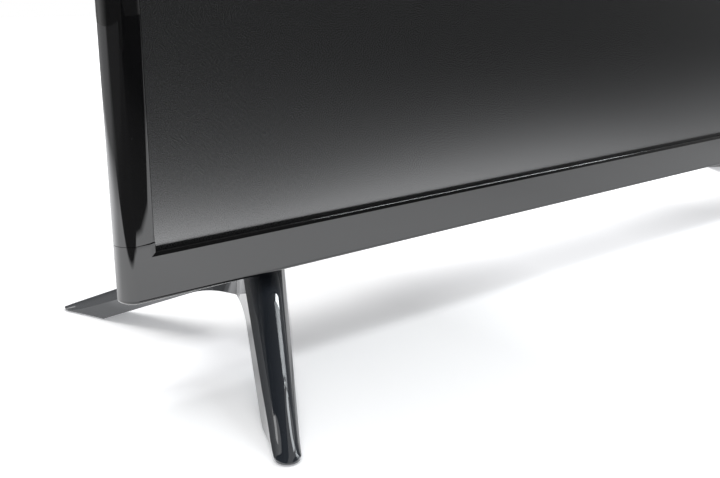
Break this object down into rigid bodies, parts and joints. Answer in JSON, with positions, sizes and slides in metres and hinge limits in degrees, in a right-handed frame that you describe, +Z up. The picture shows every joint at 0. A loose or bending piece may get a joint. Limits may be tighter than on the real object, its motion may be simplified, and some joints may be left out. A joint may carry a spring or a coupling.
{
  "type": "flat screen television",
  "caption": "Flat screen television with a gloss black frame, a moulded rear cover with sockets and keys, and a pair of splayed boomerang feet.",
  "frame": {"origin": "on the floor, midway between the two feet and midway along their depth", "axes": "+X to the right of a viewer who faces the screen, +Y towards the back of the set, +Z up"},
  "size_m": [0.731, 0.2278, 0.4828],
  "materials": {
    "gloss_black": "piano-black high-gloss moulding",
    "screen_glass": "dark screen with a matt anti-glare face",
    "smoked_lens": "smoked clear moulding",
    "black_plastic": "fine-grained matt black moulding",
    "circuit_board": "green solder mask",
    "clear_plastic": "clear moulding",
    "white_plastic": "white sheet",
    "white_aluminium": "white-coated strip",
    "tray_steel": "pressed zinc-coated steel",
    "screw_steel": "plated screws",
    "tin_plate": "tin-plated contact metal",
    "brass": "plated brass barrels in a black body",
    "black_aluminium": "black anodised fins",
    "aluminium": "bare extruded fins",
    "ferrite": "ferrite core",
    "capacitor_sleeve": "shrink sleeve",
    "speaker_paper": "paper cone and steel magnet",
    "pad_rubber": "soft rubber"
  },
  "bodies": {
    "cabinet": {"side_frame": "gloss_black", "bottom_trim": "gloss_black", "ir_window": "smoked_lens", "ir_board": "circuit_board", "lcd_cell": "screen_glass", "panel_frame": "black_plastic", "prism_film": "clear_plastic", "diffuser_film": "white_plastic", "diffuser_plate": "white_plastic", "reflector_sheet": "white_plastic", "led_lenses": "clear_plastic", "led_bars": "white_aluminium", "backlight_tray": "tray_steel", "source_board": "circuit_board", "panel_ribbon": "white_plastic", "main_board": "circuit_board", "processor_heatsink": "black_aluminium", "tuner_can": "tin_plate", "hdmi_sockets": "tin_plate", "usb_socket": "tin_plate", "av_jacks": "brass", "antenna_socket": "tin_plate", "headphone_jack": "black_plastic", "power_board": "circuit_board", "power_transformer": "ferrite", "filter_capacitors": "capacitor_sleeve", "power_heatsink": "aluminium", "mains_inlet": "black_plastic", "inlet_pins": "tin_plate", "board_screws": "screw_steel", "speaker_box_left": "black_plastic", "speaker_box_right": "black_plastic", "speaker_cone_left": "speaker_paper", "speaker_cone_right": "speaker_paper", "vesa_posts": "tray_steel", "key_board": "circuit_board", "key_switches": "tin_plate", "rear_cover": "black_plastic", "rear_cover_screws": "screw_steel", "left_foot": "gloss_black", "right_foot": "gloss_black", "foot_pads": "pad_rubber", "foot_screws": "screw_steel"},
    "power_key": {"power_key": "black_plastic"},
    "source_key": {"source_key": "black_plastic"},
    "menu_key": {"menu_key": "black_plastic"},
    "channel_down_key": {"channel_down_key": "black_plastic"},
    "channel_up_key": {"channel_up_key": "black_plastic"},
    "volume_down_key": {"volume_down_key": "black_plastic"},
    "volume_up_key": {"volume_up_key": "black_plastic"}
  },
  "joints": [
    {"name": "power_key_press", "type": "slide", "parent": "cabinet", "child": "power_key", "axis": [0, -1, 0], "range_m": [0, 0.0006], "stiffness_N_per_m": 2500},
    {"name": "source_key_press", "type": "slide", "parent": "cabinet", "child": "source_key", "axis": [0, -1, 0], "range_m": [0, 0.0006], "stiffness_N_per_m": 2500},
    {"name": "menu_key_press", "type": "slide", "parent": "cabinet", "child": "menu_key", "axis": [0, -1, 0], "range_m": [0, 0.0006], "stiffness_N_per_m": 2500},
    {"name": "channel_down_key_press", "type": "slide", "parent": "cabinet", "child": "channel_down_key", "axis": [0, -1, 0], "range_m": [0, 0.0006], "stiffness_N_per_m": 2500},
    {"name": "channel_up_key_press", "type": "slide", "parent": "cabinet", "child": "channel_up_key", "axis": [0, -1, 0], "range_m": [0, 0.0006], "stiffness_N_per_m": 2500},
    {"name": "volume_down_key_press", "type": "slide", "parent": "cabinet", "child": "volume_down_key", "axis": [0, -1, 0], "range_m": [0, 0.0006], "stiffness_N_per_m": 2500},
    {"name": "volume_up_key_press", "type": "slide", "parent": "cabinet", "child": "volume_up_key", "axis": [0, -1, 0], "range_m": [0, 0.0006], "stiffness_N_per_m": 2500}
  ]
}
